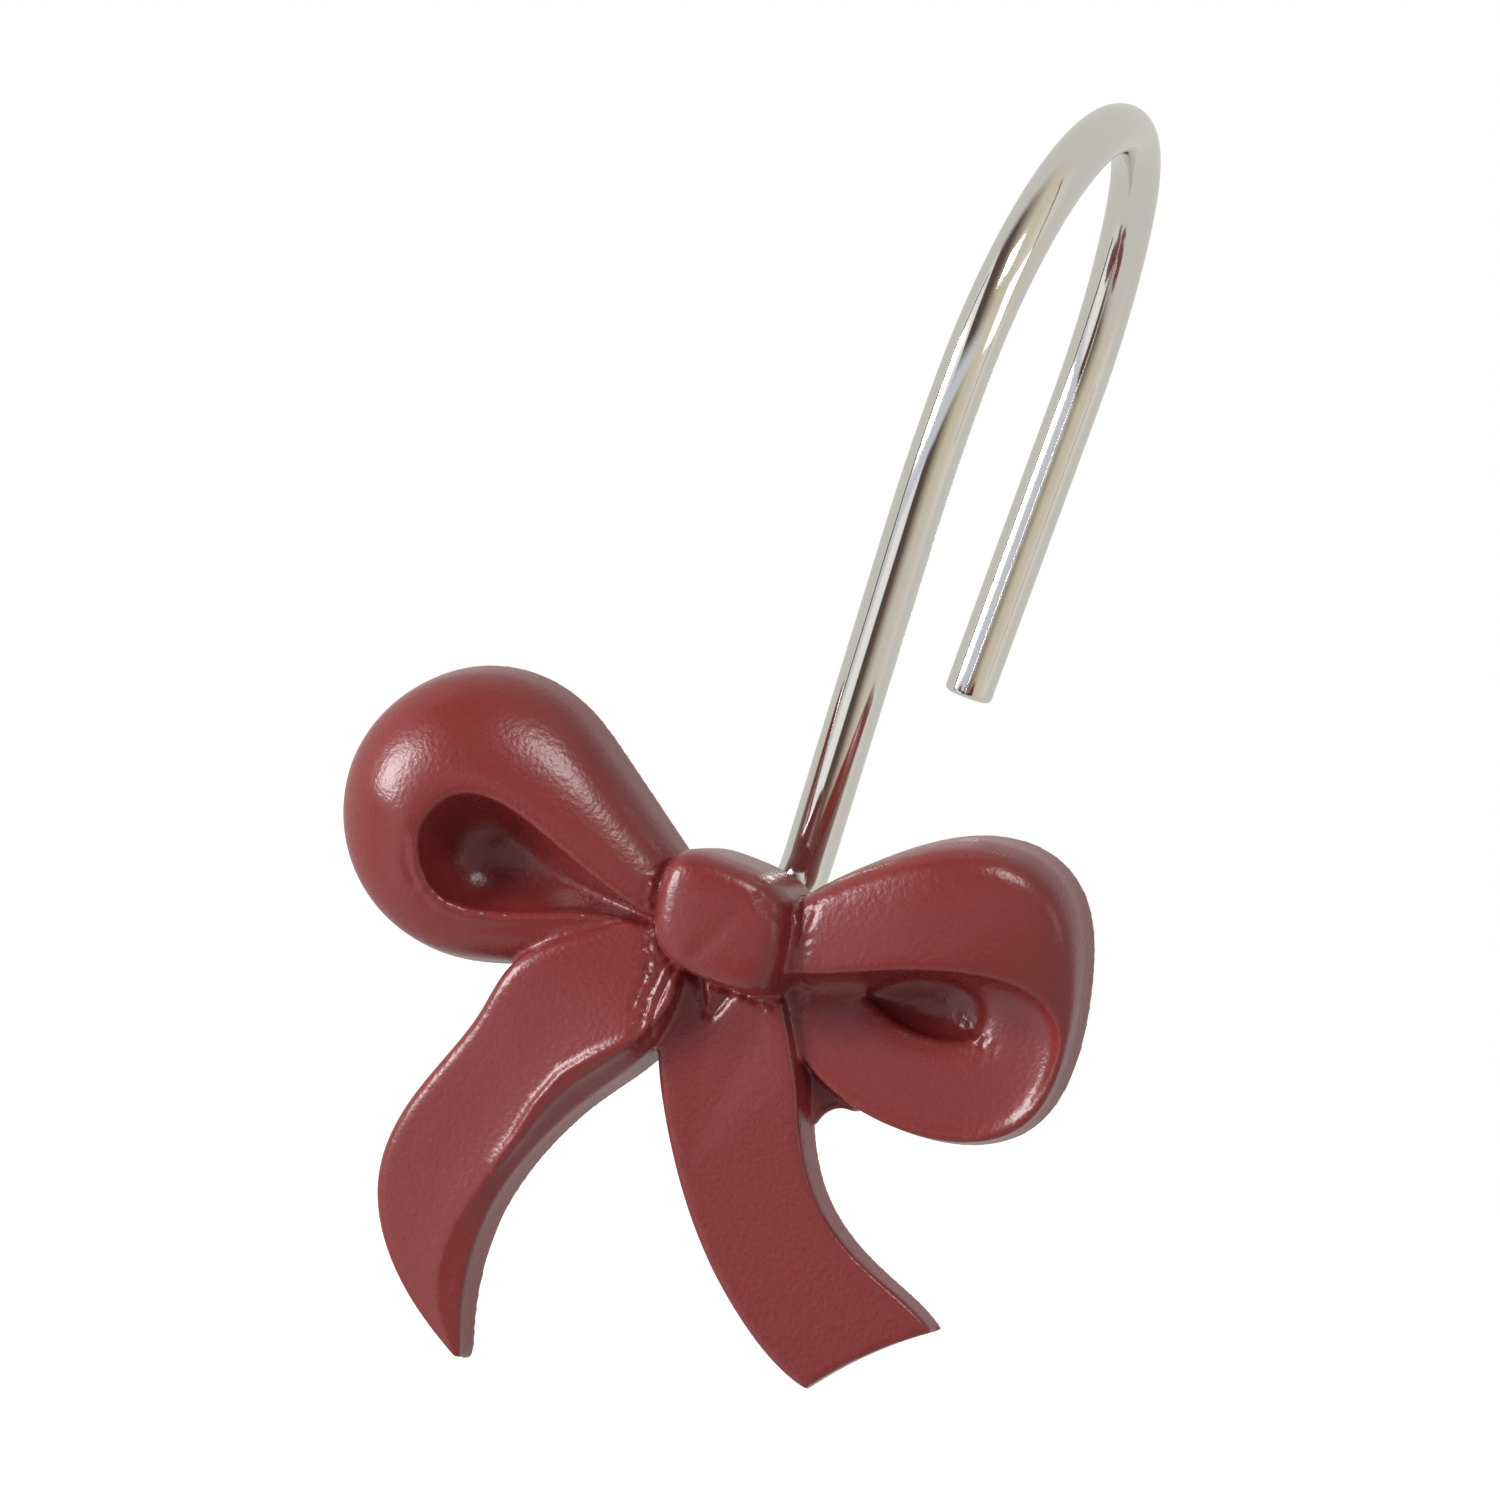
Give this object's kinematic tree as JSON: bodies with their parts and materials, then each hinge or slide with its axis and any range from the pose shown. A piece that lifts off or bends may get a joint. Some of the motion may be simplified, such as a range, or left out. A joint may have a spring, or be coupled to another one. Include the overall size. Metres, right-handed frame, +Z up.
{
  "type": "shower_curtain_hook",
  "caption": "Shower curtain hook: a burgundy resin ribbon bow with a flat back, on a plated wire cane that goes through the curtain's eyelet and over the rod",
  "frame": {"origin": "the spot inside the top of the wire's bend that sits on the curtain rod", "axes": "X to the right seen from the front, Y away from the viewer, Z up; the hook hangs as in use"},
  "size_m": [0.0469, 0.0374, 0.0827],
  "materials": {
    "bow": "satin burgundy paint over cast resin",
    "wire": "polished plated wire"
  },
  "bodies": {
    "root": {"bow_ornament": "bow", "wire_hook": "wire"}
  },
  "joints": []
}
